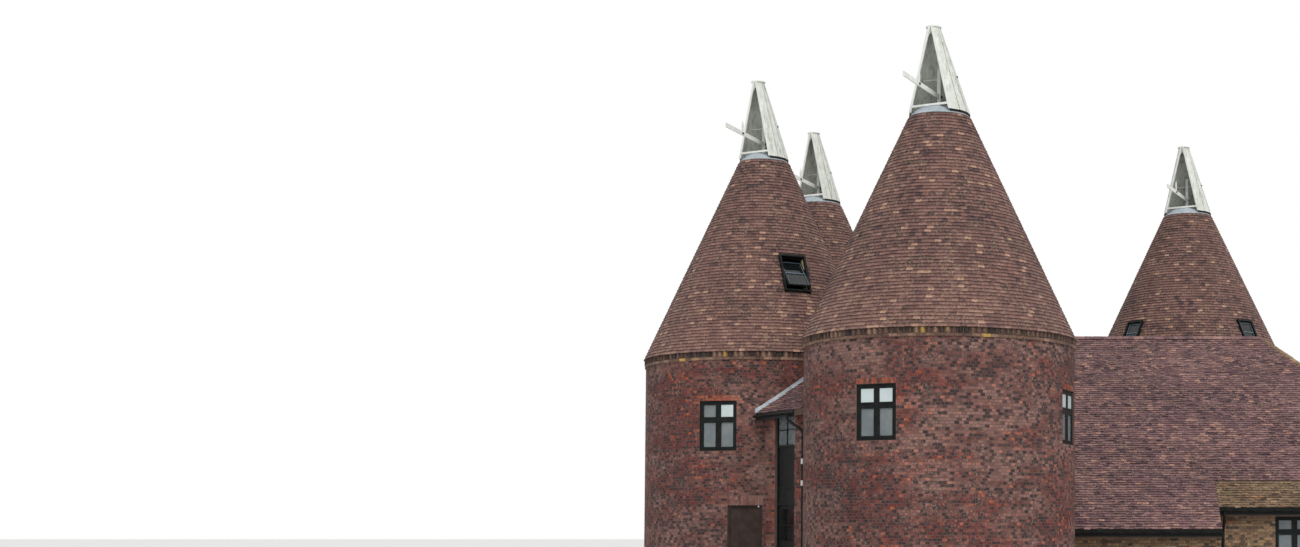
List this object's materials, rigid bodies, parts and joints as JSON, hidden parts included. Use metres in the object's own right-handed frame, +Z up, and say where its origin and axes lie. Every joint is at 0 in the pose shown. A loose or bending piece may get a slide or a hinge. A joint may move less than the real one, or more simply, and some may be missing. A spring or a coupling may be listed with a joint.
{
  "type": "oast house",
  "caption": "Brick oast house: round hop kilns with tiled cone roofs and white turning cowls round a tiled barn with a small entrance lobby.",
  "frame": {"origin": "on the ground at the axis of the front kiln", "axes": "+X along the ridge of the barn to its hipped end, +Y from the front to the back, +Z up"},
  "size_m": [20.7289, 21.12, 14.5603],
  "materials": {
    "brick": "matt",
    "roof_tiles": "matt",
    "white_timber": "painted, weathered",
    "black_timber": "painted, satin",
    "window_glass": "clear",
    "lead_sheet": "dull lead",
    "black_iron": "painted, satin",
    "floors": "boarded",
    "oak": "stained boards"
  },
  "bodies": {
    "root": {"front_kiln_wall": "brick", "front_kiln_roof": "roof_tiles", "left_kiln_wall": "brick", "left_kiln_roof": "roof_tiles", "back_left_kiln_wall": "brick", "back_left_kiln_roof": "roof_tiles", "right_kiln_wall": "brick", "right_kiln_roof": "roof_tiles", "lead_curbs": "lead_sheet", "cowl_beams": "oak", "front_roof": "roof_tiles", "catslide_roof": "roof_tiles", "front_eaves_roof": "roof_tiles", "back_roof": "roof_tiles", "hip_roof": "roof_tiles", "lobby_roof": "roof_tiles", "back_wall": "brick", "left_end_wall": "brick", "walls_over_doorways": "brick", "right_end_wall": "brick", "front_wall": "brick", "outshut_wall": "brick", "outshut_end_wall": "brick", "lobby_walls": "brick", "lobby_back_wall": "brick", "kiln_ground_floors": "floors", "barn_floor": "floors", "lobby_floor": "floors", "kiln_upper_floors": "floors", "barn_upper_floor": "floors", "passage_roof": "lead_sheet", "lobby_screen": "black_timber", "kiln_door_frame": "black_timber", "window_frames": "black_timber", "rooflight_frames": "black_timber", "rooflight_sashes": "black_timber", "fascias": "black_timber", "gutters": "black_iron", "downpipes": "black_iron", "door_hinges": "black_iron", "window_glass": "window_glass", "rooflight_glass": "window_glass"},
    "front_kiln_cowl": {"front_kiln_cowl_boards": "white_timber", "front_kiln_cowl_mouth": "white_timber", "front_kiln_cowl_vane": "white_timber"},
    "left_kiln_cowl": {"left_kiln_cowl_boards": "white_timber", "left_kiln_cowl_mouth": "white_timber", "left_kiln_cowl_vane": "white_timber"},
    "back_left_kiln_cowl": {"back_left_kiln_cowl_boards": "white_timber", "back_left_kiln_cowl_mouth": "white_timber", "back_left_kiln_cowl_vane": "white_timber"},
    "right_kiln_cowl": {"right_kiln_cowl_boards": "white_timber", "right_kiln_cowl_mouth": "white_timber", "right_kiln_cowl_vane": "white_timber"},
    "lobby_door": {"lobby_door": "black_timber", "lobby_door_glass": "window_glass"},
    "kiln_door": {"kiln_door": "oak"}
  },
  "joints": [
    {"name": "front_kiln_cowl_turn", "type": "hinge", "parent": "root", "child": "front_kiln_cowl", "pos_m": [0, 0, 12.34], "axis": [0, 0, 1], "continuous": true},
    {"name": "left_kiln_cowl_turn", "type": "hinge", "parent": "root", "child": "left_kiln_cowl", "pos_m": [-5.24, 5.5, 12.34], "axis": [0, 0, 1], "continuous": true},
    {"name": "back_left_kiln_cowl_turn", "type": "hinge", "parent": "root", "child": "back_left_kiln_cowl", "pos_m": [-4.28462, 11.96984, 12.34], "axis": [0, 0, 1], "continuous": true},
    {"name": "right_kiln_cowl_turn", "type": "hinge", "parent": "root", "child": "right_kiln_cowl", "pos_m": [8.02, 14.1, 12.34], "axis": [0, 0, 1], "continuous": true},
    {"name": "lobby_door_hinge", "type": "hinge", "parent": "root", "child": "lobby_door", "pos_m": [-4.24852, 1.77498, 1.2], "axis": [0, 0, 1], "range_deg": [0, 88]},
    {"name": "kiln_door_hinge", "type": "hinge", "parent": "root", "child": "kiln_door", "pos_m": [-5.67416, 2.35567, 1.2], "axis": [0, 0, 1], "range_deg": [0, 88]}
  ]
}
